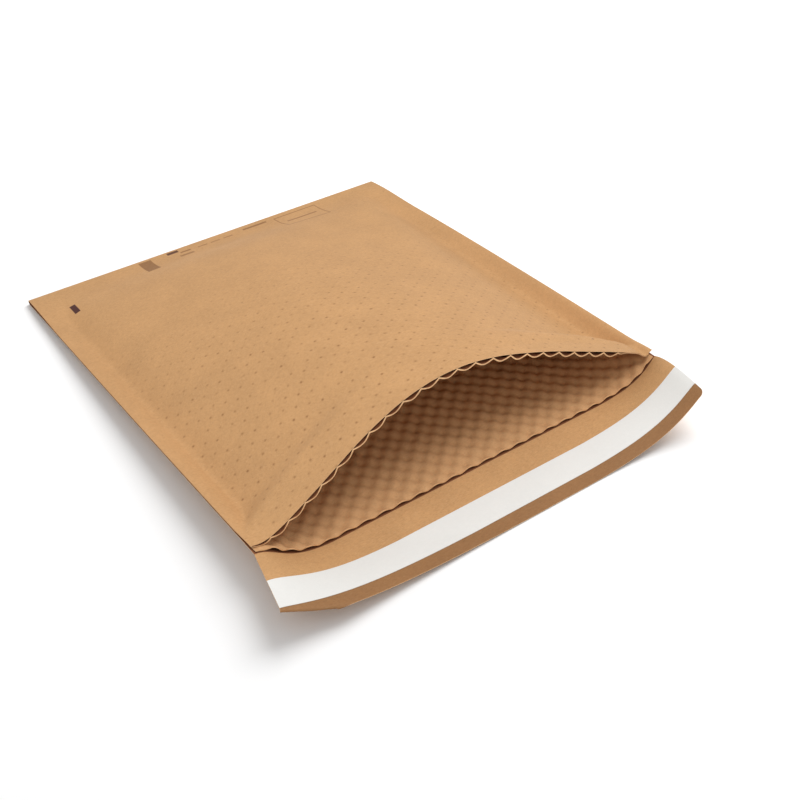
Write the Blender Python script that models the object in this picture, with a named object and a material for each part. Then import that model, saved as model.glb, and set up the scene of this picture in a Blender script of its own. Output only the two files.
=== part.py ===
# Padded paper mailer, lying on its back panel with its mouth arched open.
# One kraft web is folded at the closed end into a front and a back panel, and runs on
# past the mouth as the closing flap. An embossed paper web lines both panels.
# Units are metres. +X runs across the mouth, +Y from the mouth to the closed end, +Z up.
# The origin is the middle of the bounding box, on the surface that the mailer lies on.

import math

import bmesh
import bpy
import numpy as np
from mathutils import Vector

# Cut sizes of the web
WIDTH = 0.312
LENGTH = 0.358
KRAFT_TO_STRIP = 0.022
STRIP_WIDTH = 0.0205
END_MARGIN = 0.0095
CORNER_RADIUS = 0.004
SEAM_WIDTH = 0.014

# Thicknesses, and the clearance between touching layers
KRAFT = 0.0003
CLEARANCE = 0.0002
LINER_PRESSED = 0.0006
LINER_FULL = 0.0030
TAPE = 0.0003
SEAM_STACK = 0.0033
SEAM_GLUE = 0.0005

# How far the mouth stands open
ARCH_TERMS = (0.0503, 0.00205, -0.0028, -0.00098)
ARCH_FOOT_LEFT = 0.0163
ARCH_FOOT_RIGHT = 0.0177
MOUTH_SETBACK = 0.0090
BULGE_POWER = 0.72
FLAT_END = 0.06
LIFT_POWER = 0.8
PULL_IN_LEFT = 0.0072
PULL_IN_RIGHT = 0.0140
PULL_IN_POWER = 1.4

# Lifted side edges at the mouth: height, reach and steepness
EDGE_LEFT = (0.0190, 0.025, 1.7)
EDGE_RIGHT = (0.0176, 0.018, 1.2)
LIFT_CUT = 0.03
SEAM_CLOSES = 0.12
SEAM_SLOPE = 0.70
LIP_LEFT = 0.0062
LIP_RIGHT = 0.0026
DIP_RIGHT = 0.0018

# Dog-ear at the left corner of the flap, tucked under
EAR_LENGTH = 0.048
EAR_BEND = 0.0024
EAR_ROWS = 3

COLUMNS = (0.0, 0.001, 0.005, 0.009, 0.0125, 0.016, 0.022, 0.030, 0.041, 0.056, 0.075, 0.097, 0.122)
FRONT_STATIONS = (0.0, 0.035, 0.08, 0.15, 0.24, 0.34, 0.45, 0.56, 0.67, 0.77, 0.86, 0.93, 0.975, 1.0)
FINE_SAMPLES = 241
FLAP_LENGTH = KRAFT_TO_STRIP + STRIP_WIDTH + END_MARGIN
SIDE_INSET = 0.001
TAPE_INSET = 0.0015
STRIP_END = KRAFT_TO_STRIP + STRIP_WIDTH
STRIP_STATIONS = (KRAFT_TO_STRIP, KRAFT_TO_STRIP + TAPE_INSET, KRAFT_TO_STRIP + STRIP_WIDTH / 2,
                  STRIP_END - TAPE_INSET, STRIP_END)


def smooth(value):
    """Smoothstep from 0 to 1."""
    k = np.clip(value, 0.0, 1.0)
    return k * k * (3.0 - 2.0 * k)


def bulge(t):
    """Share of the mouth's arch that is left at station t: 0 is the mouth, 1 the closed end."""
    k = 1.0 - t
    return k ** BULGE_POWER * (1.0 - math.exp(-((k / FLAT_END) ** 2)))


def edge_rise(distance, height, reach, steepness):
    """Height of a lifted side edge, falling to a true zero further in."""
    fall = np.exp(-((np.maximum(distance, 0.0) / reach) ** steepness))
    return height * np.maximum(fall - LIFT_CUT, 0.0) / (1.0 - LIFT_CUT)


def back_height(u, t):
    """Underside of the back panel."""
    lift = (1.0 - t) ** LIFT_POWER
    return lift * (edge_rise(u, *EDGE_LEFT) + edge_rise(WIDTH - u, *EDGE_RIGHT))


def back_lean(u, t):
    """Cosine of the back panel's slope across the web."""
    step = 0.0005
    rise = back_height(u + step, t) - back_height(u - step, t)
    return np.sqrt(1.0 - (rise / (2.0 * step)) ** 2)


def front_height(u, t):
    """Top of the front panel: parallel to the back in the seams, arched between them."""
    s = u / WIDTH
    arch = ARCH_FOOT_LEFT + (ARCH_FOOT_RIGHT - ARCH_FOOT_LEFT) * s
    for order, size in enumerate(ARCH_TERMS, start=1):
        arch = arch + size * np.sin(order * math.pi * s)
    lips = LIP_LEFT * np.exp(-((u / 0.007) ** 1.2))
    lips = lips + LIP_RIGHT * np.exp(-(((WIDTH - u) / 0.004) ** 1.2))
    lips = lips - DIP_RIGHT * np.exp(-((((WIDTH - u) - 0.007) / 0.005) ** 2))
    target = SEAM_STACK * (1.0 - bulge(t)) + bulge(t) * arch + (1.0 - t) ** LIFT_POWER * lips
    sealed = SEAM_WIDTH * float(smooth(t / SEAM_CLOSES))
    from_edge = np.minimum(u, WIDTH - u)
    crease = np.where(u < WIDTH / 2, sealed, WIDTH - sealed)
    at_crease = back_height(crease, t) + SEAM_STACK / back_lean(crease, t)
    leaving = at_crease + SEAM_SLOPE * np.maximum(from_edge - sealed, 0.0)
    seamed = back_height(u, t) + SEAM_STACK / back_lean(u, t)
    free = np.maximum(np.minimum(target, leaving), seamed)
    return np.where(from_edge < sealed, seamed, free)


def across(u, height, left, right):
    """X of the points u of a row whose profile is height(u), between its two side edges."""
    fine = np.linspace(0.0, WIDTH, FINE_SAMPLES)
    rise = np.diff(height(fine))
    run = np.sqrt(np.maximum(np.diff(fine) ** 2 - rise ** 2, 1e-12))
    place = np.concatenate(([0.0], np.cumsum(run)))
    return left + (right - left) * np.interp(u, fine, place) / place[-1]


def side_edges(t):
    """X of the two side edges of a panel at station t."""
    pull = (1.0 - t) ** PULL_IN_POWER
    return PULL_IN_LEFT * pull, WIDTH - PULL_IN_RIGHT * pull


def front_point(u, t):
    left, right = side_edges(t)
    z = front_height(u, t)
    x = across(u, lambda fine: front_height(fine, t), left, right)
    crown = sum(ARCH_TERMS[0:1]) + ARCH_FOOT_LEFT
    y = LENGTH * t + MOUTH_SETBACK * (1.0 - t) * z / crown
    return np.stack((x, y + 0.0 * x, z), axis=-1)


def back_point(u, t):
    left, right = side_edges(t)
    z = back_height(u, t)
    x = across(u, lambda fine: back_height(fine, t), left, right)
    return np.stack((x, LENGTH * t + 0.0 * x, z), axis=-1)


def flap_height(u, w):
    """Underside of the flap, w metres out from the mouth: both sides curl up."""
    left = edge_rise(u, EDGE_LEFT[0] + 0.04 * w, EDGE_LEFT[1] + 0.47 * w, EDGE_LEFT[2] - 12.5 * w)
    settle = 1.0 - math.exp(-w / 0.014)
    right = edge_rise(WIDTH - u, EDGE_RIGHT[0] + 0.0077 * settle, EDGE_RIGHT[1] + 0.015 * settle, EDGE_RIGHT[2])
    return left + right


def flap_point(u, w):
    left = PULL_IN_LEFT - 0.19 * w
    right = WIDTH - PULL_IN_RIGHT - 0.226 * w
    z = flap_height(u, w)
    x = across(u, lambda fine: flap_height(fine, w), left, right)
    return np.stack((x, -w + 0.0 * x, z), axis=-1)


def normals(surface, u, v, up):
    """Unit normals of surface(u, v), pointing up or down."""
    step = 0.0004
    along_u = surface(np.minimum(u + step, WIDTH), v) - surface(np.maximum(u - step, 0.0), v)
    high, low = v + step, v - step
    along_v = surface(u, high) - surface(u, low)
    normal = np.cross(along_u, along_v)
    normal /= np.linalg.norm(normal, axis=-1, keepdims=True)
    wanted = 1.0 if up else -1.0
    return normal * np.where(normal[..., 2:3] * wanted < 0.0, -1.0, 1.0)


def panel_row(surface, u, t, up):
    """Outer points and outward normals of one row of a panel."""
    probe = min(max(t, 0.0005), 0.999)
    return surface(u, t), normals(surface, u, probe, up)


def end_fold_rows(u):
    """Rows round the folded closed end, from the front panel to the back panel."""
    rows = []
    for angle in (math.radians(60.0), math.radians(120.0)):
        out = np.array((0.0, math.sin(angle), math.cos(angle)))
        centre = np.stack((u, LENGTH + 0.0 * u, SEAM_STACK / 2 + 0.0 * u), axis=-1)
        rows.append((centre + out * SEAM_STACK / 2, np.tile(out, (len(u), 1))))
    return rows


def panel_rows(u):
    """Rows from the front mouth edge, round the closed end, to the back mouth edge."""
    rows = [panel_row(front_point, u, t, True) for t in FRONT_STATIONS]
    rows += end_fold_rows(u)
    rows += [panel_row(back_point, u, t, False) for t in reversed(FRONT_STATIONS)]
    return rows


def flap_row(u, w):
    """One plain row of the flap, w metres out from the mouth."""
    probe = np.maximum(w, 0.001)
    points = np.array([flap_point(np.array([a]), float(b))[0] for a, b in zip(u, w)])
    turned = np.array([normals(flap_point, np.array([a]), float(b), False)[0] for a, b in zip(u, probe)])
    return points, turned


def fold_under(u, w):
    """Row of the end margin. Past the fold line its left corner turns back under the flap."""
    slant = math.atan2(END_MARGIN, EAR_LENGTH)
    line = STRIP_END + 0.0004 + np.maximum(u, 0.0) * math.tan(slant)
    past = np.maximum((w - line) * math.cos(slant), 0.0)
    full_turn = math.pi * smooth((FLAP_LENGTH - line) / 0.004)
    full_turn = np.maximum(full_turn, 1e-6)
    bent = np.minimum(past, EAR_BEND)
    turn = full_turn * bent / EAR_BEND
    radius = EAR_BEND / full_turn
    along = radius * np.sin(turn) + (past - bent) * np.cos(turn)
    down = radius * (1.0 - np.cos(turn)) + (past - bent) * np.sin(turn)
    flat_u = np.clip(u + (past - along) * math.sin(slant), 0.0, WIDTH)
    flat_w = w - (past - along) * math.cos(slant)
    points, below = flap_row(flat_u, flat_w)
    outward = np.cross(below, np.array((1.0, 0.0, 0.0)))
    outward *= np.where(outward[..., 1:2] > 0.0, -1.0, 1.0)
    outward /= np.linalg.norm(outward, axis=-1, keepdims=True)
    cosine = np.cos(turn)[:, None]
    sine = np.sin(turn)[:, None]
    return points + below * down[:, None], below * cosine - outward * sine


def margin_rows(u):
    """Rows of the end margin: up to the fold line, round the bend, and on to the rounded end."""
    slope = END_MARGIN / EAR_LENGTH
    start = np.minimum(STRIP_END + 0.0004 + u * slope, FLAP_LENGTH - EAR_BEND - CORNER_RADIUS / 2)
    rows = []
    for k in range(EAR_ROWS + 1):
        rows.append(start + EAR_BEND * k / EAR_ROWS)
    after = start + EAR_BEND
    for share in (0.5, 0.8, 1.0):
        rows.append(after + (FLAP_LENGTH - after) * share)
    shaped = []
    for w in rows:
        into = np.clip((w - (FLAP_LENGTH - CORNER_RADIUS)) / CORNER_RADIUS, 0.0, 1.0)
        cut = CORNER_RADIUS * (1.0 - np.sqrt(1.0 - into ** 2)) * 0.9
        middle = WIDTH / 2
        narrowed = middle + (u - middle) * (middle - cut) / middle
        shaped.append(fold_under(narrowed, w))
    return shaped


def flap_rows(u):
    """Rows of the flap, from just past the mouth line to its free end."""
    rows = [flap_row(u, w + 0.0 * u) for w in (0.007, 0.0145) + STRIP_STATIONS]
    return rows + margin_rows(u)


def columns(inset=0.0):
    """Distances across the web, closer together at the seams. Every layer shares them."""
    left = [value for value in COLUMNS if value >= inset]
    right = [WIDTH - value for value in reversed(left)]
    return np.array(left + [WIDTH / 2] + right)


def layer(rows, near, far):
    """Two point grids of a layer, at depths near and far inside the outer surface."""
    outer = [points - normal * near for points, normal in rows]
    inner = [points - normal * depth for (points, normal), depth in zip(rows, far)]
    return np.array(outer), np.array(inner)


def make_material(name, colour, roughness):
    material = bpy.data.materials.new(name)
    material.use_nodes = True
    shader = material.node_tree.nodes["Principled BSDF"]
    shader.inputs["Base Color"].default_value = (*colour, 1.0)
    shader.inputs["Roughness"].default_value = roughness
    shader.inputs["Metallic"].default_value = 0.0
    return material


def sheet_solid(name, outer, inner, material):
    """Closed solid between two grids of points, with one diagonal direction throughout."""
    count, width = outer.shape[0], outer.shape[1]
    mesh = bpy.data.meshes.new(name)
    bm = bmesh.new()
    top = [[bm.verts.new(Vector(p)) for p in row] for row in outer]
    low = [[bm.verts.new(Vector(p)) for p in row] for row in inner]
    for i in range(count - 1):
        for j in range(width - 1):
            for grid in (top, low):
                a, b, c, d = grid[i][j], grid[i][j + 1], grid[i + 1][j + 1], grid[i + 1][j]
                bm.faces.new((a, b, c))
                bm.faces.new((a, c, d))
    loop = [(0, j) for j in range(width)]
    loop += [(i, width - 1) for i in range(1, count)]
    loop += [(count - 1, j) for j in range(width - 2, -1, -1)]
    loop += [(i, 0) for i in range(count - 2, 0, -1)]
    for (i, j), (k, m) in zip(loop, loop[1:] + loop[:1]):
        bm.faces.new((top[i][j], top[k][m], low[k][m]))
        bm.faces.new((top[i][j], low[k][m], low[i][j]))
    bmesh.ops.recalc_face_normals(bm, faces=bm.faces)
    bm.to_mesh(mesh)
    bm.free()
    mesh.materials.append(material)
    mesh.shade_smooth()
    mesh.set_sharp_from_angle(angle=math.radians(40.0))
    item = bpy.data.objects.new(name, mesh)
    bpy.context.scene.collection.objects.link(item)
    return item


def outer_sheet():
    """Kraft web: front panel, closed-end fold, back panel and flap."""
    u = columns()
    rows = panel_rows(u) + flap_rows(u)
    outer, inner = layer(rows, 0.0, [KRAFT] * len(rows))
    return sheet_solid("outer_sheet", outer, inner, make_material("kraft_paper", (0.57, 0.34, 0.15), 0.75))


def liner_depths(u):
    """Inner depth of the liner on each row: full inside the pocket, pressed at seams and fold."""
    depths = []
    for t in FRONT_STATIONS:
        opening = front_height(u, t) - back_height(u, t) - SEAM_STACK
        thick = LINER_PRESSED + (LINER_FULL - LINER_PRESSED) * smooth(opening / 0.012)
        depths.append(thick)
    pressed = LINER_PRESSED + 0.0 * u
    total = depths + [pressed, pressed] + depths[::-1]
    return [(KRAFT + CLEARANCE + thick)[:, None] for thick in total]


def padding_liner():
    """Embossed paper web, drawn at the thickness that its bumps reach."""
    u = columns(SIDE_INSET)
    rows = panel_rows(u)
    outer, inner = layer(rows, KRAFT + CLEARANCE, liner_depths(u))
    return sheet_solid("padding_liner", outer, inner, make_material("liner_paper", (0.60, 0.37, 0.18), 0.85))


def seam_adhesive(name, left_side):
    """Glue line that joins the two sides of the web in one side seam."""
    inside = [value for value in COLUMNS if SIDE_INSET <= value <= SEAM_WIDTH]
    u = np.array(inside) if left_side else WIDTH - np.array(inside[::-1])
    stations = [t for t in FRONT_STATIONS if 0.08 <= t <= 0.98]
    top, low = [], []
    for t in stations:
        middle = (front_point(u, t) + back_point(u, t)) / 2
        half = np.array((0.0, 0.0, SEAM_GLUE / 2))
        top.append(middle + half)
        low.append(middle - half)
    return sheet_solid(name, np.array(top), np.array(low), make_material(name, (0.72, 0.68, 0.58), 0.5))


def strip_rows(u, first, last):
    """Rows of the flap from one distance from the mouth to another, on the stations of the strip."""
    stations = [w for w in STRIP_STATIONS if first - 1e-6 < w < last + 1e-6]
    return [flap_row(u, w + 0.0 * u) for w in stations]


def closure_adhesive():
    """Pressure-sensitive band on the flap, under the release strip."""
    u = columns(SIDE_INSET)
    rows = strip_rows(u, KRAFT_TO_STRIP + TAPE_INSET, STRIP_END - TAPE_INSET)
    near = KRAFT + CLEARANCE
    outer, inner = layer(rows, near, [near + TAPE] * len(rows))
    return sheet_solid("closure_adhesive", outer, inner, make_material("closure_adhesive", (0.75, 0.72, 0.62), 0.3))


def release_strip():
    """White release paper over the adhesive, cut flush with the sides of the flap."""
    u = columns()
    rows = strip_rows(u, KRAFT_TO_STRIP, STRIP_END)
    near = KRAFT + CLEARANCE + TAPE + CLEARANCE
    outer, inner = layer(rows, near, [near + TAPE] * len(rows))
    return sheet_solid("release_strip", outer, inner, make_material("release_strip", (0.83, 0.82, 0.80), 0.45))


def recentre(items):
    """Move the meshes so that the origin is the bottom centre of their common box."""
    points = np.array([vertex.co[:] for item in items for vertex in item.data.vertices])
    low, high = points.min(axis=0), points.max(axis=0)
    shift = Vector((-(low[0] + high[0]) / 2, -(low[1] + high[1]) / 2, -low[2]))
    for item in items:
        for vertex in item.data.vertices:
            vertex.co += shift


def main():
    for item in list(bpy.data.objects):
        bpy.data.objects.remove(item, do_unlink=True)
    items = [
        outer_sheet(),
        padding_liner(),
        seam_adhesive("seam_adhesive_left", True),
        seam_adhesive("seam_adhesive_right", False),
        closure_adhesive(),
        release_strip(),
    ]
    recentre(items)


main()
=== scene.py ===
import math

import bpy
import numpy as np
from mathutils import Matrix, Vector


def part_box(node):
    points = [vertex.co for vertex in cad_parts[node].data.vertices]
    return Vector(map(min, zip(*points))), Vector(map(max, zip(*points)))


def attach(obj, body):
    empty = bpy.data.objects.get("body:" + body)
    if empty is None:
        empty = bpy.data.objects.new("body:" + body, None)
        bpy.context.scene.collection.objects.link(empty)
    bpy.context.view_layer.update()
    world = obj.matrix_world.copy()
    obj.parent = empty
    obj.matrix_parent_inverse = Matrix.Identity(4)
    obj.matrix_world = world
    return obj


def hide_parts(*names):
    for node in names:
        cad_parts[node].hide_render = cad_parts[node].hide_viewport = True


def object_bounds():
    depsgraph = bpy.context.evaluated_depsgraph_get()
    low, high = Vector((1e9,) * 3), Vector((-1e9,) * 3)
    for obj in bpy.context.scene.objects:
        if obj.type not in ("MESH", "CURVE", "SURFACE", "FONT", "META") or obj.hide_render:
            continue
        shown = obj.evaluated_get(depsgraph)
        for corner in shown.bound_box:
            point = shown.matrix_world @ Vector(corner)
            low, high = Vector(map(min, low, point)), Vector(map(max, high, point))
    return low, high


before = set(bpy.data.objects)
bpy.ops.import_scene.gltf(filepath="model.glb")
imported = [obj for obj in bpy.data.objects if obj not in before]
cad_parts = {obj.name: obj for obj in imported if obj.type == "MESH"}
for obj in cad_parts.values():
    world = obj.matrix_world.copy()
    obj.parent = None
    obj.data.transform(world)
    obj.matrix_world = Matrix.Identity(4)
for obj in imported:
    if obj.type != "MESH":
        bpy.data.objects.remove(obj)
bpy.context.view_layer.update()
print("frame: the packed mailer is loaded")


# Node tree helpers. A value that is a socket gets a link, anything else is set on the input.

def put(tree, socket, value):
    if isinstance(value, bpy.types.NodeSocket):
        tree.links.new(value, socket)
    else:
        socket.default_value = value


def addNode(tree, kind, inputs=None, **settings):
    node = tree.nodes.new(kind)
    for name, value in settings.items():
        setattr(node, name, value)
    for key, value in (inputs or {}).items():
        put(tree, node.inputs[key], value)
    return node


def calc(tree, operation, *values):
    node = addNode(tree, "ShaderNodeMath", operation=operation)
    for socket, value in zip(node.inputs, values):
        put(tree, socket, value)
    return node.outputs[0]


def vectorCalc(tree, operation, first, second=None):
    node = addNode(tree, "ShaderNodeVectorMath", operation=operation)
    put(tree, node.inputs[0], first)
    if second is not None:
        put(tree, node.inputs["Scale" if operation == "SCALE" else 1], second)
    return node.outputs[0]


def noise(tree, place, scale, detail, roughness=0.5):
    return addNode(tree, "ShaderNodeTexNoise", {
        "Vector": place, "Scale": scale, "Detail": detail, "Roughness": roughness,
    }).outputs[0]


def blendColour(tree, share, first, second):
    mix = addNode(tree, "ShaderNodeMix", data_type="RGBA")
    for index, value in ((0, share), (6, first), (7, second)):  # factor and the two colours
        put(tree, mix.inputs[index], value)
    return mix.outputs[2]


def swing(tree, value, size):
    # a noise of 0 to 1 becomes a swing of the given size about 0
    return calc(tree, "MULTIPLY", calc(tree, "SUBTRACT", value, 0.5), size)


def ranged(tree, value, low, high):
    # 0 at low and 1 at high
    return addNode(tree, "ShaderNodeMapRange", {
        "Value": value, "From Min": low, "From Max": high,
    }).outputs[0]


def newTree(name, kind, inputs, outputs):
    tree = bpy.data.node_groups.new(name, kind)
    for direction, sockets in (("INPUT", inputs), ("OUTPUT", outputs)):
        for label, socketType, value in sockets:
            socket = tree.interface.new_socket(name=label, in_out=direction, socket_type=socketType)
            if value is not None:
                socket.default_value = value
    return tree, tree.nodes.new("NodeGroupInput"), tree.nodes.new("NodeGroupOutput")


def placeGroup(tree, group, inputs):
    node = addNode(tree, "ShaderNodeGroup", node_tree=group)
    for key, value in inputs.items():
        put(tree, node.inputs[key], value)
    return node


# The web: one long sheet. u runs across it and v along it, from the mouth edge of the front panel
# over the closed end and back to the mouth, and on to the end of the flap.

web = {
    "width": 0.312,
    "length": 0.358,
    "flap": 0.052,
    "seam": 0.014,
    "mouthStack": 0.0033,  # front and back outer faces apart at the mouth's corners
    "seamStack": 0.0016,  # and where the seam is pressed
    "endStack": 0.0038,  # and at the fold of the closed end
    "stackFade": 0.035,  # share of the length over which the mouth's stack thins out
    "endSpan": 0.20,  # and over which the seam thickens again at the closed end
    "samples": 481,  # across the web, where its length is measured
}

arch = {  # the open mouth
    "footLeft": 0.0163,  # height of the front edge at the mouth's corners
    "footRight": 0.0177,
    "waves": (0.0503, 0.00205, -0.0028, -0.00098),  # heights of 1, 2, 3 and 4 half waves across it
    "setback": 0.009,  # the crown stands this far behind the corners
    "power": 0.72,  # how the arch fades towards the closed end
    "flatEnd": 0.09,
}

sides = {  # height, reach and steepness of the side edges that stand off the table
    "left": (0.0190, 0.025, 1.7),
    "right": (0.0176, 0.018, 1.2),
    "cut": 0.03,  # what is left of a raised edge below this share lies flat
    "power": 0.8,  # how they fade towards the closed end
    "pullLeft": 0.0072,  # the mouth is narrower than the sheet by the two pulls
    "pullRight": 0.0140,
    "pullPower": 1.4,
    "lipLeft": (0.0062, 0.007),  # height and reach of the front edge at the mouth's corners
    "lipRight": (0.0026, 0.004),
    "lipPower": 1.2,
    "dipRight": (0.0018, 0.007, 0.005),  # depth, distance from the edge and reach
    "seamCloses": 0.12,  # share of the length over which the seam reaches its full width
    "mouthSlope": 0.70,  # steepest rise of the panel out of the seam, at the mouth
    "seamSlope": 0.52,  # and further in
    "creaseRound": 0.0025,
    "shoulder": 0.0060,
    "leastShoulder": 0.00001,
    "edgeLift": 0.0004,
    "edgeSettles": 0.1,
}

flap = {  # how the raised side edges grow along the flap
    "left": (0.04, 0.47, -12.5),  # change of the left edge's three values in one metre
    "right": (0.0077, 0.015),  # gain of the right edge's height and reach
    "settles": 0.014,  # over about this length
    "taperLeft": 0.19,  # the flap widens by these shares of its length
    "taperRight": 0.226,
    "firstRow": 0.0025,
    "rowStep": 0.002,
    "rows": 20,
}

ear = {  # the flap's left corner, tucked under
    "start": 0.0429,
    "length": 0.048,
    "margin": 0.0095,
    "bend": 0.0024,
    "bendRows": 7,
    "fade": 0.004,  # the fold runs out over this length
    "spare": 0.0005,  # the underside's direction is read this far inside the edges
    "round": 0.004,  # radius of the flap's end corners
    "roundShare": 0.9,
    "shares": (0.25, 0.5, 0.7, 0.82, 0.9, 0.96, 1.0),  # rows between the fold and the end
}


def smoothStep(value):
    k = np.clip(value, 0.0, 1.0)
    return k * k * (3.0 - 2.0 * k)


def fromSides(u):
    return np.minimum(u, web["width"] - u)


def archShare(t):
    k = 1.0 - t
    return k ** arch["power"] * (1.0 - math.exp(-((k / arch["flatEnd"]) ** 2)))


def edgeRise(distance, height, reach, steepness):
    fall = np.exp(-((np.maximum(distance, 0.0) / reach) ** steepness))
    return height * np.maximum(fall - sides["cut"], 0.0) / (1.0 - sides["cut"])


def backHeight(u, t):
    lift = (1.0 - t) ** sides["power"]
    raised = edgeRise(u, *sides["left"]) + edgeRise(web["width"] - u, *sides["right"])
    pressed = 1.0 - smoothStep(fromSides(u) / web["seam"])
    closing = smoothStep(t / web["stackFade"]) * smoothStep((1.0 - t) / sides["edgeSettles"])
    return lift * raised + sides["edgeLift"] * pressed * closing


def backLean(u, t):
    step = 0.0005
    rise = backHeight(u + step, t) - backHeight(u - step, t)
    return np.sqrt(1.0 - (rise / (2.0 * step)) ** 2)


def seamStack(t):
    opening = math.exp(-((t / web["stackFade"]) ** 2))
    closing = float(smoothStep((t - 1.0 + web["endSpan"]) / web["endSpan"]))
    pressed = web["seamStack"] + (web["mouthStack"] - web["seamStack"]) * opening
    return pressed + (web["endStack"] - pressed) * closing


def cornerLip(distance, height, reach):
    return height * np.exp(-((distance / reach) ** sides["lipPower"]))


def frontHeight(u, t):
    width = web["width"]
    fromRight = width - u
    rise = arch["footLeft"] + (arch["footRight"] - arch["footLeft"]) * u / width
    for order, size in enumerate(arch["waves"], start=1):
        rise = rise + size * np.sin(order * math.pi * u / width)
    lips = cornerLip(u, *sides["lipLeft"]) + cornerLip(np.maximum(fromRight, 0.0), *sides["lipRight"])
    depth, middle, reach = sides["dipRight"]
    lips = lips - depth * np.exp(-(((fromRight - middle) / reach) ** 2))
    share = archShare(t)
    target = web["endStack"] * (1.0 - share) + share * rise + (1.0 - t) ** sides["power"] * lips
    closing = float(smoothStep(t / sides["seamCloses"]))
    sealed = web["seam"] * closing
    crease = np.where(u < width / 2, sealed, width - sealed)
    atCrease = backHeight(crease, t) + seamStack(t) / backLean(crease, t)
    inside = np.maximum(fromSides(u) - sealed, 0.0)
    eased = inside - sides["creaseRound"] * (1.0 - np.exp(-inside / sides["creaseRound"]))
    slope = sides["mouthSlope"] + (sides["seamSlope"] - sides["mouthSlope"]) * closing
    leaving = atCrease + slope * (inside + (eased - inside) * closing)
    seamed = backHeight(u, t) + seamStack(t) / backLean(u, t)
    shoulder = sides["leastShoulder"] + sides["shoulder"] * closing
    blend = np.clip(0.5 + 0.5 * (target - leaving) / shoulder, 0.0, 1.0)
    lower = target + (leaving - target) * blend - shoulder * blend * (1.0 - blend)
    free = np.maximum(lower, seamed)
    return np.where(fromSides(u) < sealed, seamed, free)


def spreadAcross(u, height, left, right):
    # the paper keeps its length as it rises, so x falls behind u
    fine = np.linspace(0.0, web["width"], web["samples"])
    rise = np.diff(height(fine))
    run = np.sqrt(np.maximum(np.diff(fine) ** 2 - rise ** 2, 1e-12))
    place = np.concatenate(([0.0], np.cumsum(run)))
    return left + (right - left) * np.interp(u, fine, place) / place[-1]


def sideEdges(t):
    pull = (1.0 - t) ** sides["pullPower"]
    return sides["pullLeft"] * pull, web["width"] - sides["pullRight"] * pull


def frontPoints(u, t):
    z = frontHeight(u, t)
    x = spreadAcross(u, lambda fine: frontHeight(fine, t), *sideEdges(t))
    crown = arch["waves"][0] + arch["footLeft"]
    return np.stack((x, web["length"] * t + arch["setback"] * (1.0 - t) * z / crown, z), axis=-1)


def backPoints(u, t):
    z = backHeight(u, t)
    x = spreadAcross(u, lambda fine: backHeight(fine, t), *sideEdges(t))
    return np.stack((x, web["length"] * t + 0.0 * x, z), axis=-1)


def endPoints(u, angle):
    half = web["endStack"] / 2 + 0.0 * u
    return np.stack((u, web["length"] + half * math.sin(angle), half + half * math.cos(angle)), axis=-1)


def flapHeight(u, w):
    left = [start + growth * w for start, growth in zip(sides["left"], flap["left"])]
    settled = 1.0 - math.exp(-w / flap["settles"])
    height, reach, steepness = sides["right"]
    right = (height + flap["right"][0] * settled, reach + flap["right"][1] * settled, steepness)
    return edgeRise(u, *left) + edgeRise(web["width"] - u, *right)


def flapPoints(u, w):
    left = sides["pullLeft"] - flap["taperLeft"] * w
    right = web["width"] - sides["pullRight"] - flap["taperRight"] * w
    z = flapHeight(u, w)
    x = spreadAcross(u, lambda fine: flapHeight(fine, w), left, right)
    return np.stack((x, -w + 0.0 * x, z), axis=-1)


def flapUnder(u, w):
    # unit direction out of the flap's underside at one point
    step = 0.0004
    one = np.array([u])
    alongU = flapPoints(one + step, w)[0] - flapPoints(one - step, w)[0]
    alongW = flapPoints(one, w + step)[0] - flapPoints(one, w - step)[0]
    normal = np.cross(alongU, alongW)
    normal /= np.linalg.norm(normal)
    return -normal if normal[2] > 0.0 else normal


def earPoints(u, w):
    # rows of the end margin: past a slanting fold line the left corner turns back under the flap
    slant = math.atan2(ear["margin"], ear["length"])
    line = ear["start"] + np.maximum(u, 0.0) * math.tan(slant)
    past = np.maximum((w - line) * math.cos(slant), 0.0)
    fullTurn = np.maximum(math.pi * smoothStep((web["flap"] - line) / ear["fade"]), 1e-6)
    bent = np.minimum(past, ear["bend"])
    turn = fullTurn * bent / ear["bend"]
    radius = ear["bend"] / fullTurn
    along = radius * np.sin(turn) + (past - bent) * np.cos(turn)
    down = radius * (1.0 - np.cos(turn)) + (past - bent) * np.sin(turn)
    flatU = np.clip(u + (past - along) * math.sin(slant), 0.0, web["width"])
    flatW = w - (past - along) * math.cos(slant)
    places = [flapPoints(np.array([a]), float(b))[0] for a, b in zip(flatU, flatW)]
    insideU = np.clip(flatU, ear["spare"], web["width"] - ear["spare"])
    under = [flapUnder(a, float(b)) for a, b in zip(insideU, flatW)]
    return np.array(places) + np.array(under) * down[:, None]


def marginRows(u):
    slope = ear["margin"] / ear["length"]
    start = np.minimum(ear["start"] + u * slope, web["flap"] - ear["bend"] - ear["round"] / 2)
    spans = [start + ear["bend"] * k / ear["bendRows"] for k in range(ear["bendRows"] + 1)]
    after = start + ear["bend"]
    spans += [after + (web["flap"] - after) * share for share in ear["shares"]]
    rows = []
    for w in spans:
        into = np.clip((w - (web["flap"] - ear["round"])) / ear["round"], 0.0, 1.0)
        cut = ear["round"] * (1.0 - np.sqrt(1.0 - into ** 2)) * ear["roundShare"]
        middle = web["width"] / 2
        narrowed = middle + (u - middle) * (middle - cut) / middle
        rows.append(makeRow("flap", narrowed, w, earPoints(narrowed, w)))
    return rows


# The bond between the two papers: a square lattice of dots with a second one in its gaps.

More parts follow.
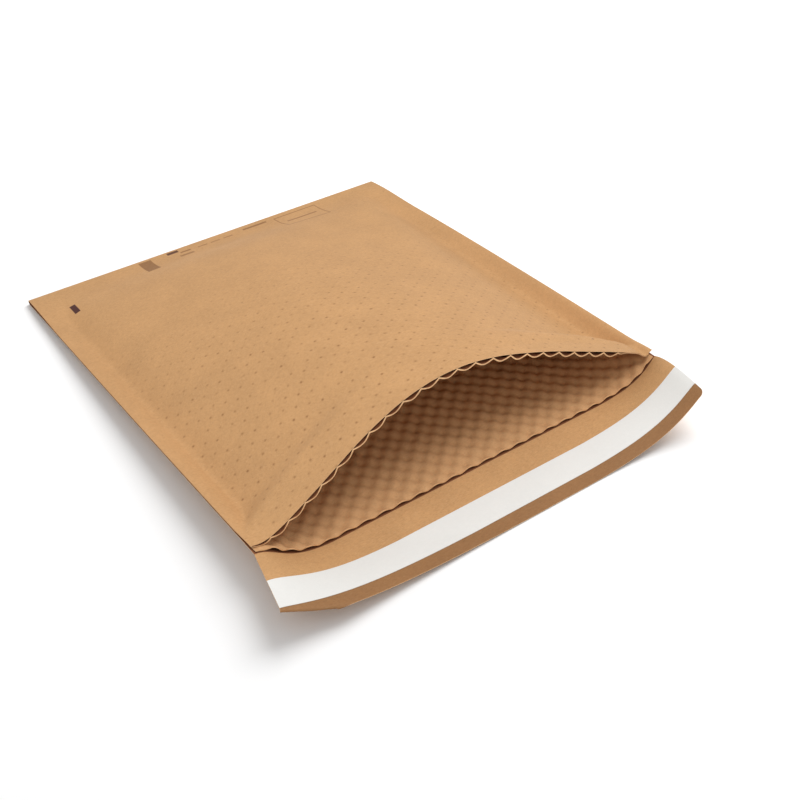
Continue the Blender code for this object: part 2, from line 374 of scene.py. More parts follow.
bond = {
    "pitch": 0.0127,
    "firstDot": 0.0121,  # from the left edge; the first row lies on the mouth edge
    "steps": 8,  # mesh steps in one pitch
    "leastStep": 0.0006,  # no column closer than this to a side edge
    "rightCalm": (0.024, 0.014),  # beside the right edge the front's bumps start here, and grow over this
    "calmUntil": (0.05, 0.2),  # the same from the mouth on, as shares of the length
    "dotsEnd": (0.055, 0.20),  # from the closed end: no dots this close, and they grow over this
    "seamDots": 0.15,  # strength of the dots in the seams
    "seamEdge": (0.011, 0.005),
    "spare": 0.0001,  # room left between the two faces of the liner
    "bumpPatches": 95.0,  # scale of the noise that makes the bumps uneven
    "dotPatches": 130.0,  # and of the one for the dots
    "rowGap": 0.001,
}
meshStep = bond["pitch"] / bond["steps"]


def latticeColumns(every, inset):
    # columns that pass through the dots, and one on each side edge
    count = int(web["width"] / meshStep) + 2
    places = bond["firstDot"] + meshStep * every * np.arange(-count, count)
    least = inset + bond["leastStep"]
    places = places[(places > least) & (places < web["width"] - least)]
    return np.concatenate(([inset], places, [web["width"] - inset]))


def latticeRows(first, last, every):
    # v of the rows between first and last that pass through the dots
    step = meshStep * every
    lowest, highest = math.ceil(first / step - 1e-6), math.floor(last / step + 1e-6)
    return [k * step for k in range(lowest, highest + 1)]


def gradedRows(first, last, spans):
    # lattice rows from first to last, in spans of (where it ends, mesh steps between rows)
    rows = []
    for end, every in spans:
        rows += latticeRows(first, min(end, last), every)
        first = end + bond["rowGap"]
    return rows


def grow(distance, start, span):
    return smoothStep((distance - start) / span)


def makeRow(part, u, place, points=None):
    # place is t on a panel, an angle on the end fold and the distance w from the mouth on the flap
    length = web["length"]
    puff, grip = 0.0 * u, 0.0 * u
    inSeam = bond["seamDots"] + (1.0 - bond["seamDots"]) * grow(fromSides(u), *bond["seamEdge"])
    if part in ("front", "back"):
        t = place
        points = frontPoints(u, t) if part == "front" else backPoints(u, t)
        v = length * t if part == "front" else 2.0 * length - length * t
        room = (frontHeight(u, t) - backHeight(u, t)) / 2
        room = room - liner["contact"] - liner["thickness"] - bond["spare"]
        puff = np.clip(room / liner["bump"], 0.0, 1.0)
        if part == "front":
            loose = grow(web["width"] - u, *bond["rightCalm"])
            puff = puff * (loose + (1.0 - loose) * grow(t, *bond["calmUntil"]))
        grip = grow(length * (1.0 - t), *bond["dotsEnd"]) * inSeam
    elif part == "end":
        points = endPoints(u, place)
        v = length
    else:
        points = flapPoints(u, place) if points is None else points
        v = 2.0 * length + place
    return {"points": points, "u": u, "v": v + 0.0 * u, "puff": puff, "grip": grip}


def rowFaces(below, above, firstBelow, firstAbove):
    # quads between rows of equal count, and a fan of triangles where the count changes
    if len(below) == len(above):
        return [(firstBelow + k, firstBelow + k + 1, firstAbove + k + 1, firstAbove + k)
                for k in range(len(below) - 1)]
    faces, i, j = [], 0, 0
    while i < len(below) - 1 or j < len(above) - 1:
        if j == len(above) - 1 or (i < len(below) - 1 and below[i + 1] <= above[j + 1] + 1e-7):
            faces.append((firstBelow + i, firstBelow + i + 1, firstAbove + j))
            i += 1
        else:
            faces.append((firstBelow + i, firstAbove + j + 1, firstAbove + j))
            j += 1
    return faces


def webMesh(name, rows):
    starts = np.cumsum([0] + [len(row["u"]) for row in rows])
    faces = []
    for k in range(len(rows) - 1):
        faces += rowFaces(rows[k]["u"], rows[k + 1]["u"], int(starts[k]), int(starts[k + 1]))
    whole = {key: np.concatenate([row[key] for row in rows]) for key in rows[0]}
    mesh = bpy.data.meshes.new(name)
    mesh.from_pydata((whole["points"] + toFrame).tolist(), [], faces)
    for field in ("puff", "grip"):
        layer = mesh.attributes.new(field, "FLOAT", "POINT")
        layer.data.foreach_set("value", whole[field].astype(np.float32))
    flat = np.stack((whole["u"], whole["v"]), axis=-1)
    corners = np.zeros(len(mesh.loops), np.int32)
    mesh.loops.foreach_get("vertex_index", corners)
    mesh.uv_layers.new(name="web").data.foreach_set("uv", flat[corners].astype(np.float32).ravel())
    mesh.shade_smooth()
    item = bpy.data.objects.new(name, mesh)
    bpy.context.scene.collection.objects.link(item)
    return item


def namedField(tree, name, kind):
    return addNode(tree, "GeometryNodeInputNamedAttribute", {"Name": name}, data_type=kind).outputs[0]


def awayFromDots(tree, place, pitch, firstDot):
    # 0 at a dot and 2 midway between dots, and the turns of the pattern in one metre
    split = addNode(tree, "ShaderNodeSeparateXYZ", {"Vector": place}).outputs
    turns = calc(tree, "DIVIDE", 2.0 * math.pi, pitch)
    across = calc(tree, "MULTIPLY", calc(tree, "SUBTRACT", split[0], firstDot), turns)
    across = calc(tree, "COSINE", across)
    along = calc(tree, "COSINE", calc(tree, "MULTIPLY", split[1], turns))
    return calc(tree, "SUBTRACT", 1.0, calc(tree, "MULTIPLY", across, along)), turns


def dotBell(tree, away, turns, radius):
    # 1 at the middle of a dot, fading out over its radius
    reach = calc(tree, "POWER", calc(tree, "MULTIPLY", radius, turns), 2.0)
    return calc(tree, "EXPONENT", calc(tree, "MULTIPLY", calc(tree, "DIVIDE", away, reach), -2.0))


# Geometry nodes that press the bond pattern into a sheet: bumps between the dots, dents at them.

def quiltTree():
    tree, given, result = newTree("quiltedSheet", "GeometryNodeTree", [
        ("Geometry", "NodeSocketGeometry", None),
        ("Pitch", "NodeSocketFloat", bond["pitch"]),
        ("First Dot", "NodeSocketFloat", bond["firstDot"]),
        ("Depth", "NodeSocketFloat", 0.0),
        ("Bump Height", "NodeSocketFloat", 0.0),
        ("Bump Roundness", "NodeSocketFloat", 0.6),
        ("Bump Variation", "NodeSocketFloat", 0.15),
        ("Dent Depth", "NodeSocketFloat", 0.0),
        ("Dent Radius", "NodeSocketFloat", 0.0018),
        ("Wrinkle Height", "NodeSocketFloat", 0.0),
        ("Wrinkle Size", "NodeSocketFloat", 0.07),
        ("Material", "NodeSocketMaterial", None),
    ], [("Geometry", "NodeSocketGeometry", None)])
    ask = given.outputs
    place = namedField(tree, "web", "FLOAT_VECTOR")
    puff, grip = namedField(tree, "puff", "FLOAT"), namedField(tree, "grip", "FLOAT")
    away, turns = awayFromDots(tree, place, ask["Pitch"], ask["First Dot"])
    patches = noise(tree, place, bond["bumpPatches"], 1.0)
    # a noise stays near its middle, so its swing is widened
    uneven = swing(tree, patches, calc(tree, "MULTIPLY", ask["Bump Variation"], 4.0))
    crown = calc(tree, "POWER", calc(tree, "MULTIPLY", away, 0.5), ask["Bump Roundness"])
    bump = calc(tree, "MULTIPLY", calc(tree, "MULTIPLY", crown, calc(tree, "ADD", 1.0, uneven)),
                calc(tree, "MULTIPLY", puff, ask["Bump Height"]))
    dent = calc(tree, "MULTIPLY", dotBell(tree, away, turns, ask["Dent Radius"]),
                calc(tree, "MULTIPLY", grip, ask["Dent Depth"]))
    wave = noise(tree, place, calc(tree, "DIVIDE", 1.0, ask["Wrinkle Size"]), 2.0)
    swell = swing(tree, wave, calc(tree, "MULTIPLY", puff, ask["Wrinkle Height"]))
    depth = calc(tree, "ADD", calc(tree, "ADD", ask["Depth"], bump), calc(tree, "ADD", dent, swell))
    normal = addNode(tree, "GeometryNodeInputNormal").outputs[0]
    inward = vectorCalc(tree, "SCALE", normal, calc(tree, "MULTIPLY", depth, -1.0))
    moved = addNode(tree, "GeometryNodeSetPosition", {"Geometry": ask["Geometry"], "Offset": inward})
    real = addNode(tree, "GeometryNodeRealizeInstances", {"Geometry": moved.outputs[0]})
    painted = addNode(tree, "GeometryNodeSetMaterial", {
        "Geometry": real.outputs[0], "Material": ask["Material"],
    })
    put(tree, result.inputs[0], painted.outputs[0])
    return tree


def fixFacing(item):
    # a closed mesh has a positive volume when its faces look outwards
    mesh = item.data
    mesh.calc_loop_triangles()
    volume = 0.0
    for triangle in mesh.loop_triangles:
        a, b, c = (mesh.vertices[k].co for k in triangle.vertices)
        volume += a.dot(b.cross(c)) / 6.0
    if volume < 0.0:
        mesh.flip_normals()


def quiltSheet(item, values, thickness, outside, inside, rim):
    # presses the pattern in, gives the sheet its thickness inwards, and leaves a plain mesh
    for material in (outside, inside, rim):
        item.data.materials.append(material)
    quilt = item.modifiers.new("quilt", "NODES")
    quilt.node_group = quilting
    named = {socket.name: socket.identifier for socket in quilting.interface.items_tree
             if socket.item_type == "SOCKET" and socket.in_out == "INPUT"}
    for label, value in values.items():
        quilt[named[label]] = value
    quilt[named["Material"]] = outside
    wall = item.modifiers.new("wall", "SOLIDIFY")
    wall.thickness = thickness
    if "lip" in item.vertex_groups:
        wall.thickness = liner["lipThickness"]
        wall.vertex_group = "lip"
        wall.thickness_vertex_group = thickness / liner["lipThickness"]
    wall.offset = -1.0
    wall.material_offset = 1
    wall.material_offset_rim = 2
    graph = bpy.context.evaluated_depsgraph_get()
    done = item.evaluated_get(graph)
    plain = bpy.data.meshes.new_from_object(done, preserve_all_data_layers=True, depsgraph=graph)
    item.modifiers.clear()
    item.data = plain
    plain.name = item.name
    plain.set_sharp_from_angle(angle=math.radians(50.0))
    print(item.name, "has", sum(len(face.vertices) - 2 for face in plain.polygons), "triangles")
    return item


# Surface detail that several materials share

fibre = {
    "broadScale": 38.0,
    "cloudScale": 420.0,
    "cloudRoughness": 0.65,
    "broadShare": 0.8,
    "threads": ((0.35, 0.0), (1.35, 3.1), (2.4, 7.7)),  # turn and shift of each layer of fibres
    "threadScale": (420.0, 2600.0, 1500.0),
    "darkRange": (0.62, 0.78),
    "paleRange": (0.38, 0.22),
    "ridgeHeight": 0.6,
}


def fibreGroup():
    # flecked, clouded paper: colour, and a height for the bump
    tree, given, result = newTree("paperFibres", "ShaderNodeTree", [
        ("Vector", "NodeSocketVector", None),
        ("Paper", "NodeSocketColor", (0.5, 0.5, 0.5, 1.0)),
        ("Fleck", "NodeSocketColor", (0.2, 0.2, 0.2, 1.0)),
        ("Pale", "NodeSocketColor", (0.8, 0.8, 0.8, 1.0)),
        ("Clouds", "NodeSocketFloat", 0.25),
        ("Flecks", "NodeSocketFloat", 0.3),
    ], [("Color", "NodeSocketColor", None), ("Height", "NodeSocketFloat", None)])
    ask = given.outputs
    broad = noise(tree, ask["Vector"], fibre["broadScale"], 3.0)
    cloud = noise(tree, ask["Vector"], fibre["cloudScale"], 4.0, fibre["cloudRoughness"])
    threads = []
    for turn, shift in fibre["threads"]:
        laid = addNode(tree, "ShaderNodeMapping", {
            "Vector": ask["Vector"], "Location": (shift, shift, shift),
            "Rotation": (0.1, 0.1, turn), "Scale": fibre["threadScale"],
        })
        threads.append(noise(tree, laid.outputs[0], 1.0, 1.0))
    ridge = calc(tree, "MAXIMUM", calc(tree, "MAXIMUM", threads[0], threads[1]), threads[2])
    hollow = calc(tree, "MINIMUM", calc(tree, "MINIMUM", threads[0], threads[1]), threads[2])
    fleck = calc(tree, "MULTIPLY", ranged(tree, ridge, *fibre["darkRange"]), ask["Flecks"])
    pale = calc(tree, "MULTIPLY", ranged(tree, hollow, *fibre["paleRange"]), ask["Flecks"])
    tone = calc(tree, "ADD", swing(tree, broad, fibre["broadShare"]), calc(tree, "SUBTRACT", cloud, 0.5))
    shade = calc(tree, "ADD", 1.0, calc(tree, "MULTIPLY", tone, ask["Clouds"]))
    clouded = vectorCalc(tree, "SCALE", ask["Paper"], shade)
    flecked = blendColour(tree, fleck, clouded, ask["Fleck"])
    put(tree, result.inputs["Color"], blendColour(tree, pale, flecked, ask["Pale"]))
    raised = calc(tree, "MULTIPLY", ridge, fibre["ridgeHeight"])
    put(tree, result.inputs["Height"], calc(tree, "ADD", raised, cloud))
    return tree


def dotGroup():
    # soft spots on the bond lattice, 1 at the middle of a dot
    tree, given, result = newTree("bondDots", "ShaderNodeTree", [
        ("Web", "NodeSocketVector", None),
        ("Pitch", "NodeSocketFloat", bond["pitch"]),
        ("First Dot", "NodeSocketFloat", bond["firstDot"]),
        ("Radius", "NodeSocketFloat", 0.0012),
        ("Unevenness", "NodeSocketFloat", 0.9),
    ], [("Mask", "NodeSocketFloat", None)])
    ask = given.outputs
    away, turns = awayFromDots(tree, ask["Web"], ask["Pitch"], ask["First Dot"])
    spot = dotBell(tree, away, turns, ask["Radius"])
    patches = noise(tree, ask["Web"], bond["dotPatches"], 0.0)
    luck = swing(tree, patches, calc(tree, "MULTIPLY", ask["Unevenness"], 3.0))
    uneven = calc(tree, "MULTIPLY", spot, calc(tree, "ADD", 1.0, luck))
    put(tree, result.inputs[0], calc(tree, "MAXIMUM", uneven, 0.0))
    return tree


def barGroup():
    # one printed bar with soft edges, placed on the web
    tree, given, result = newTree("printedBar", "ShaderNodeTree", [
        ("Web", "NodeSocketVector", None),
        ("Middle", "NodeSocketVector", None),
        ("Half Size", "NodeSocketVector", None),
        ("Softness", "NodeSocketFloat", 0.0002),
    ], [("Mask", "NodeSocketFloat", None)])
    ask = given.outputs
    outward = vectorCalc(tree, "ABSOLUTE", vectorCalc(tree, "SUBTRACT", ask["Web"], ask["Middle"]))
    past = vectorCalc(tree, "SUBTRACT", outward, ask["Half Size"])
    split = addNode(tree, "ShaderNodeSeparateXYZ", {"Vector": past}).outputs
    edge = calc(tree, "MAXIMUM", split[0], split[1])
    steps = calc(tree, "DIVIDE", edge, calc(tree, "MULTIPLY", ask["Softness"], 2.0))
    inside = calc(tree, "MAXIMUM", calc(tree, "SUBTRACT", 0.5, steps), 0.0)
    put(tree, result.inputs[0], calc(tree, "MINIMUM", inside, 1.0))
    return tree


def newMaterial(name, roughness):
    material = bpy.data.materials.new(name)
    material.use_nodes = True
    tree = material.node_tree
    shader = tree.nodes["Principled BSDF"]
    shader.inputs["Roughness"].default_value = roughness
    shader.inputs["Specular IOR Level"].default_value = 0.3
    return material, tree, shader


def paperInputs(look, vector):
    return {"Vector": vector, "Paper": (*look["paper"], 1.0), "Fleck": (*look["fleck"], 1.0),
            "Pale": (*look["pale"], 1.0), "Clouds": look["clouds"], "Flecks": look["flecks"]}


def paperMaterial(name, look, colourChange=None):
    material, tree, shader = newMaterial(name, look["roughness"])
    place = addNode(tree, "ShaderNodeTexCoord").outputs["Object"]
    paper = placeGroup(tree, fibres, paperInputs(look, place))
    colour = paper.outputs["Color"]
    if colourChange:
        colour = colourChange(tree, colour)
    put(tree, shader.inputs["Base Color"], colour)
    grain = addNode(tree, "ShaderNodeBump", {
        "Height": paper.outputs["Height"], "Distance": look["grainBump"],
    })
    put(tree, shader.inputs["Normal"], grain.outputs[0])
    return material


def webCoordinates(tree):
    return addNode(tree, "ShaderNodeUVMap", uv_map="web").outputs[0]


# The kraft web

kraft = {
    "paper": (0.530, 0.292, 0.124),
    "fleck": (0.29, 0.140, 0.057),
    "pale": (0.68, 0.42, 0.225),
    "clouds": 0.30,
    "flecks": 0.42,
    "roughness": 0.72,
    "grainBump": 0.00006,
    "dotColour": (0.20, 0.085, 0.026),
    "dotRadius": 0.0008,
    "dotDarkness": 0.50,
    "thickness": 0.0003,
    "dentDepth": 0.00012,
    "dentRadius": 0.0019,
    "wrinkle": 0.0014,
    "frontSpans": ((0.16, 1), (0.27, 2), (web["length"], 3)),  # where each ends, and steps between rows
    "endAngles": (25, 50, 75, 105, 130, 155),
    "marginShade": (0.56, 0.50, 0.46),  # painted shade on the flap's end margin, beside the unshaded paper
    "pocketShade": (0.46, 0.30, 0.29),  # painted shade on the inner face where the liner covers it
    "overlap": 0.0005,  # how far that painted shade runs past the mouth
}

cutPaper = {  # the cut edges of both webs
    "paper": (0.76, 0.46, 0.235),
    "fleck": (0.50, 0.27, 0.12),
    "pale": (0.84, 0.60, 0.36),
    "clouds": 0.4,
    "flecks": 0.4,
    "roughness": 0.9,
    "grainBump": 0.00010,
}

printing = {  # generic bars near the closed end: middle u, distance from the end, half sizes, strength
    "darkInk": (0.060, 0.016, 0.016),
    "darkBars": [
        (0.0232, 0.0388, 0.00225, 0.0070, 0.97),
        (0.1178, 0.0036, 0.0048, 0.0019, 0.85),
    ],
    "brownInk": (0.150, 0.055, 0.015),
    "brownBars": [
        (0.0938, 0.0145, 0.0052, 0.0120, 0.62),
        (0.1275, 0.0080, 0.0045, 0.0011, 0.60),
        (0.1260, 0.0155, 0.0060, 0.0020, 0.50),
        (0.1425, 0.0085, 0.0042, 0.0010, 0.40),
        (0.1540, 0.0085, 0.0042, 0.0010, 0.40),
        (0.1655, 0.0085, 0.0042, 0.0010, 0.40),
        (0.1915, 0.0060, 0.0110, 0.0013, 0.60),
        (0.2295, 0.0060, 0.0200, 0.0006, 0.55),
        (0.2295, 0.0345, 0.0200, 0.0006, 0.55),
        (0.2099, 0.0203, 0.0005, 0.0143, 0.50),
        (0.2491, 0.0203, 0.0005, 0.0143, 0.50),
        (0.2295, 0.0203, 0.0140, 0.0012, 0.55),
    ],
}


def printBars(tree, colour, ink, bars):
    total = None
    for middle, fromEnd, halfWidth, halfLength, strength in bars:
        bar = placeGroup(tree, barPrint, {
            "Web": webCoordinates(tree),
            "Middle": (middle, web["length"] - fromEnd, 0.0),
            "Half Size": (halfWidth, halfLength, 0.0),
        })
        mask = calc(tree, "MULTIPLY", bar.outputs[0], strength)
        total = mask if total is None else calc(tree, "MAXIMUM", total, mask)
    return blendColour(tree, total, colour, (*ink, 1.0))


def spotsAndPrint(tree, colour):
    grip = addNode(tree, "ShaderNodeAttribute", attribute_name="grip").outputs["Fac"]
    dots = placeGroup(tree, bondSpots, {"Web": webCoordinates(tree), "Radius": kraft["dotRadius"]})
    spot = calc(tree, "MULTIPLY", dots.outputs[0], calc(tree, "MULTIPLY", grip, kraft["dotDarkness"]))
    spotted = blendColour(tree, spot, colour, (*kraft["dotColour"], 1.0))
    marked = printBars(tree, spotted, printing["darkInk"], printing["darkBars"])
    return printBars(tree, marked, printing["brownInk"], printing["brownBars"])


def paintShadeInPocket(tree, colour):
    # painted shade: the kraft web's inner face is darkened inside the wall, where the liner covers it,
    # and on the flap's end margin; the rest of the flap is plain paper
    v = addNode(tree, "ShaderNodeSeparateXYZ", {"Vector": webCoordinates(tree)}).outputs[1]
    pocket = calc(tree, "LESS_THAN", v, 2.0 * web["length"] + kraft["overlap"])
    margin = calc(tree, "GREATER_THAN", v, 2.0 * web["length"] + strip["last"])
    # painted shade on the flap's end margin, beyond the release strip
    plain = blendColour(tree, margin, colour, vectorCalc(tree, "MULTIPLY", colour, kraft["marginShade"]))
    # painted shade inside the wall, between the kraft and the liner
    wallShaded = vectorCalc(tree, "MULTIPLY", colour, kraft["pocketShade"])
    return blendColour(tree, pocket, plain, wallShaded)


def kraftWeb():
    fine = latticeColumns(1, 0.0)
    coarse = latticeColumns(2, 0.0)
    length = web["length"]
    gap = bond["rowGap"]
    front = gradedRows(0.0, length - 3 * gap, kraft["frontSpans"]) + [length - gap, length]
    back = [length] + latticeRows(length + gap, 2 * length - gap, 2) + [2 * length]
    rows = [makeRow("front", fine, v / length) for v in front]
    rows += [makeRow("end", fine, math.radians(angle)) for angle in kraft["endAngles"]]
    rows += [makeRow("back", coarse, 2.0 - v / length) for v in back]
    rows += [makeRow("flap", coarse, flap["firstRow"] + flap["rowStep"] * k) for k in range(flap["rows"])]
    rows += marginRows(coarse)
    item = webMesh("kraftWeb", rows)
    return quiltSheet(item, {
        "Dent Depth": kraft["dentDepth"],
        "Dent Radius": kraft["dentRadius"],
        "Wrinkle Height": kraft["wrinkle"],
    }, kraft["thickness"], kraftPaper, kraftInside, cutEdge)


# The embossed liner inside it

liner = {
    "paper": (0.58, 0.325, 0.150),
    "fleck": (0.32, 0.155, 0.065),
    "pale": (0.70, 0.45, 0.25),
    "clouds": 0.25,
    "flecks": 0.35,
    "roughness": 0.85,
    "grainBump": 0.00010,
    "thickness": 0.00038,
    "contact": 0.00036,  # its outer face below the kraft's outer face at a dot
    "bump": 0.0027,
    "roundness": 0.55,
    "inset": 0.0010,
    "lipThickness": 0.00080,
    "lipFade": (1.0, 0.55, 0.15),  # share of the lip on the first rows from the mouth
    "frontSpans": ((0.06, 1), (0.13, 2), (web["length"], 4)),
    "backSpans": ((0.21, 4), (0.11, 2), (0.0005, 1)),  # each ends this far before the mouth
    "endAngles": (50, 90, 130),
    "endGap": 0.0015,  # between the end fold and the nearest row of a panel
}

linerWallShade = {  # the liner's outer face, coloured dark: painted shade inside the wall
    "paper": (0.25, 0.090, 0.036),
    "fleck": (0.13, 0.045, 0.02),
    "pale": (0.34, 0.15, 0.065),
    "clouds": 0.3,
    "flecks": 0.3,
    "roughness": 0.9,
    "grainBump": 0.0001,
}


def thickenLip(item, rows):
    # the torn edge of the embossed paper looks thicker where it stands off the kraft
    lip = item.vertex_groups.new(name="lip")
    count, total = len(rows[0]["u"]), len(item.data.vertices)
    for step, share in enumerate(liner["lipFade"]):
        for k in range(count):
            weight = float(share * min(rows[0]["puff"][k], 1.0))
            lip.add([step * count + k, total - (step + 1) * count + k], weight, "REPLACE")


def linerWeb():
    columns = latticeColumns(1, liner["inset"])
    length = web["length"]
    gap = liner["endGap"]
    backSpans = [(2 * length - toMouth, every) for toMouth, every in liner["backSpans"]]
    front = gradedRows(0.0, length - 2 * gap, liner["frontSpans"]) + [length - gap]
    back = [length + gap] + gradedRows(length + 2 * gap, 2 * length, backSpans) + [2 * length]
    rows = [makeRow("front", columns, v / length) for v in front]
    rows += [makeRow("end", columns, math.radians(angle)) for angle in liner["endAngles"]]
    rows += [makeRow("back", columns, 2.0 - v / length) for v in back]
    item = webMesh("linerWeb", rows)
    thickenLip(item, rows)
    return quiltSheet(item, {
        "Depth": liner["contact"],
        "Bump Height": liner["bump"],
        "Bump Roundness": liner["roundness"],
        "Dent Depth": kraft["dentDepth"],
        "Dent Radius": kraft["dentRadius"],
        "Wrinkle Height": kraft["wrinkle"],
    }, liner["thickness"], linerOutside, linerPaper, cutEdge)


# The release strip and the adhesives

strip = {
    "paper": (0.75, 0.74, 0.71),
    "fleck": (0.66, 0.64, 0.61),
    "pale": (0.88, 0.88, 0.87),
    "clouds": 0.06,
    "flecks": 0.12,
    "roughness": 0.42,
    "grainBump": 0.00002,
    "first": 0.022,
    "last": 0.0425,
    "rows": 11,
    "depth": 0.00046,  # below the flap's outer face
    "thickness": 0.00014,
}


def releaseStrip():
    columns = latticeColumns(2, 0.0)
    span = np.linspace(strip["first"], strip["last"], strip["rows"])
    item = webMesh("releaseStrip", [makeRow("flap", columns, w) for w in span])
    return quiltSheet(item, {"Depth": strip["depth"]}, strip["thickness"], *[releasePaper] * 3)


closure = {
    "inset": 0.0015,  # from the release strip's edges
    "rows": 9,
    "thickness": 0.00013,
    "colour": (0.70, 0.62, 0.45),
    "deepTone": 0.8,
    "cloudScale": 300.0,
    "roughness": 0.35,
}


def glueMaterial():
    material, tree, shader = newMaterial("dryGlue", closure["roughness"])
    place = addNode(tree, "ShaderNodeTexCoord").outputs["Object"]
    cloud = noise(tree, place, closure["cloudScale"], 2.0)
    pale = (*closure["colour"], 1.0)
    deep = (*[value * closure["deepTone"] for value in closure["colour"]], 1.0)
    put(tree, shader.inputs["Base Color"], blendColour(tree, cloud, pale, deep))
    return material


def closureBand():
    columns = latticeColumns(2, closure["inset"])
    inset = closure["inset"]
    span = np.linspace(strip["first"] + inset, strip["last"] - inset, closure["rows"])
    item = webMesh("closureBand", [makeRow("flap", columns, w) for w in span])
    return quiltSheet(item, {"Depth": kraft["thickness"]}, closure["thickness"], *[glueFilm] * 3)


seams = {
    "first": 0.0030,  # from the side edge
    "last": 0.0125,
    "start": 0.08,  # share of the length from the mouth
    "end": 0.985,
    "rows": 72,
    "columns": 6,
    "clear": 0.00002,  # from the liner
}


def seamGlue(name, onLeft):
    # fills the seam between the two faces of the liner
    inside = np.linspace(seams["first"], seams["last"], seams["columns"])
    u = inside if onLeft else web["width"] - inside[::-1]
    taken = liner["contact"] + liner["thickness"] + seams["clear"]
    points = []
    for t in np.linspace(seams["start"], seams["end"], seams["rows"]):
        front, back = frontPoints(u, t), backPoints(u, t)
        gap = back - front
        size = np.linalg.norm(gap, axis=1)
        inwards = gap * (np.minimum(taken, size / 2 - seams["clear"] / 2) / size)[:, None]
        points.append(np.concatenate((front + inwards, (back - inwards)[::-1])))
    around, last = 2 * len(u), seams["rows"] - 1
    faces = []
    for first in range(0, last * around, around):
        for i in range(around):
            following = (i + 1) % around
            faces.append((first + i, first + following, first + around + following, first + around + i))
    for i in range(len(u) - 1):
        cap = np.array((i, i + 1, around - 2 - i, around - 1 - i))
        faces += [tuple(cap[::-1].tolist()), tuple((cap + last * around).tolist())]
    mesh = bpy.data.meshes.new(name)
    mesh.from_pydata((np.concatenate(points) + toFrame).tolist(), [], faces)
    mesh.materials.append(glueFilm)
    item = bpy.data.objects.new(name, mesh)
    bpy.context.scene.collection.objects.link(item)
    fixFacing(item)
    return item


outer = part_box("outer_sheet")
toFrame = np.array((outer[1].x - web["width"], outer[0].y + web["flap"], outer[0].z))
quilting = quiltTree()
fibres = fibreGroup()
bondSpots = dotGroup()
barPrint = barGroup()
kraftPaper = paperMaterial("kraftPaper", kraft, spotsAndPrint)
# the kraft's inner face carries painted shade inside the wall and on the flap's end margin
kraftInside = paperMaterial("kraftInside", kraft, paintShadeInPocket)
linerPaper = paperMaterial("linerPaper", liner)
# the liner's outer face is coloured dark as painted shade inside the wall
linerOutside = paperMaterial("linerOutside", linerWallShade)
cutEdge = paperMaterial("cutPaperEdge", cutPaper)
releasePaper = paperMaterial("releasePaper", strip)
glueFilm = glueMaterial()
print("materials: kraft, liner, cut edge, release paper and glue are made")

pieces = [
    (kraftWeb(), "outer_sheet", "kraft_paper"),
    (linerWeb(), "padding_liner", "liner_paper"),
    (releaseStrip(), "release_strip", "release_strip"),
    (closureBand(), "closure_adhesive", "closure_adhesive"),
    (seamGlue("seamGlueLeft", True), "seam_adhesive_left", "seam_adhesive"),
    (seamGlue("seamGlueRight", False), "seam_adhesive_right", "seam_adhesive"),
]
for item, node, slot in pieces:
    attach(item, "root")
    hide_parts(node)
print("pieces: the webs and the strip are made")

# Camera, floor and light

cameraSetup = {
    "azimuth": -31.78,
    "elevation": 37.43,
    "roll": -4.03,
    "distance": 0.679,
    "lens": 47.1,
    "ahead": 0.0833,  # the aim point, from the mouth line towards the closed end
}


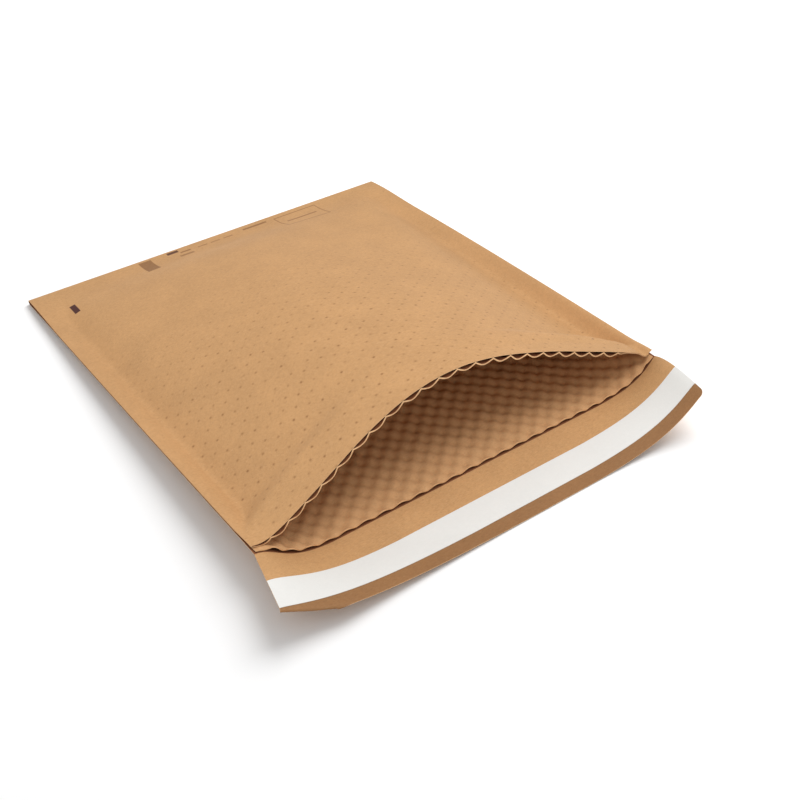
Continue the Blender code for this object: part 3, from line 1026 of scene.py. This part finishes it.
def makeCamera(setup):
    azimuth, elevation, roll = (math.radians(setup[k]) for k in ("azimuth", "elevation", "roll"))
    level = Vector((math.cos(azimuth), math.sin(azimuth), 0.0))
    ahead = Vector((-math.sin(azimuth), math.cos(azimuth), 0.0))
    forward = ahead * math.cos(elevation) - Vector((0.0, 0.0, math.sin(elevation)))
    upright = level.cross(forward)
    right = level * math.cos(roll) + upright * math.sin(roll)
    up = upright * math.cos(roll) - level * math.sin(roll)
    camera = bpy.data.objects.new("camera", bpy.data.cameras.new("camera"))
    camera.data.lens = setup["lens"]
    camera.data.sensor_width = 36.0
    target = Vector((0.0, toFrame[1] + setup["ahead"], 0.0))
    turn = Matrix((right, up, -forward)).transposed().to_4x4()
    camera.matrix_world = Matrix.Translation(target - forward * setup["distance"]) @ turn
    bpy.context.scene.collection.objects.link(camera)
    bpy.context.scene.camera = camera


studio = {
    "floorSize": 12.0,
    "floorColour": (0.9, 0.9, 0.9),
    "floorGap": 0.0001,
    "skyStrength": 0.66,
}

keyLight = {"place": (0.20, -0.26, 1.20), "size": 1.0, "watts": 10.0}

floorLight = {"place": (1.00, 0.35, 1.25), "size": 1.5, "watts": 27.5}


def makeFloor(setup, height):
    mesh = bpy.data.meshes.new("floor")
    half = setup["floorSize"] / 2
    corners = [(-half, -half, height), (half, -half, height), (half, half, height), (-half, half, height)]
    mesh.from_pydata(corners, [], [(0, 1, 2, 3)])
    floor = bpy.data.objects.new("floor", mesh)
    bpy.context.scene.collection.objects.link(floor)
    material, tree, shader = newMaterial("floor", 0.9)
    shader.inputs["Base Color"].default_value = (*setup["floorColour"], 1.0)
    mesh.materials.append(material)
    return floor


def makeLight(name, setup, lit):
    # a soft round light, aimed at the mailer's middle, that shines on the listed objects only
    light = bpy.data.lights.new(name, "AREA")
    light.shape = "DISK"
    light.size = setup["size"]
    light.energy = setup["watts"]
    lamp = bpy.data.objects.new(name, light)
    lamp.location = setup["place"]
    lamp.rotation_mode = "QUATERNION"
    lamp.rotation_quaternion = (-Vector(setup["place"])).to_track_quat("-Z", "Y")
    bpy.context.scene.collection.objects.link(lamp)
    receivers = bpy.data.collections.new(name + "Lit")
    for item in lit:
        receivers.objects.link(item)
    lamp.light_linking.receiver_collection = receivers


def makeSky(setup):
    world = bpy.data.worlds.new("studio")
    world.use_nodes = True
    world.node_tree.nodes["Background"].inputs["Color"].default_value = (1.0, 1.0, 1.0, 1.0)
    world.node_tree.nodes["Background"].inputs["Strength"].default_value = setup["skyStrength"]
    bpy.context.scene.world = world


low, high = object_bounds()
bpy.context.scene.view_settings.view_transform = "Standard"
makeCamera(cameraSetup)
floor = makeFloor(studio, low.z - studio["floorGap"])
makeSky(studio)
makeLight("keyLight", keyLight, [piece[0] for piece in pieces])
makeLight("floorLight", floorLight, [floor])
print("studio: camera, floor and light are in place")
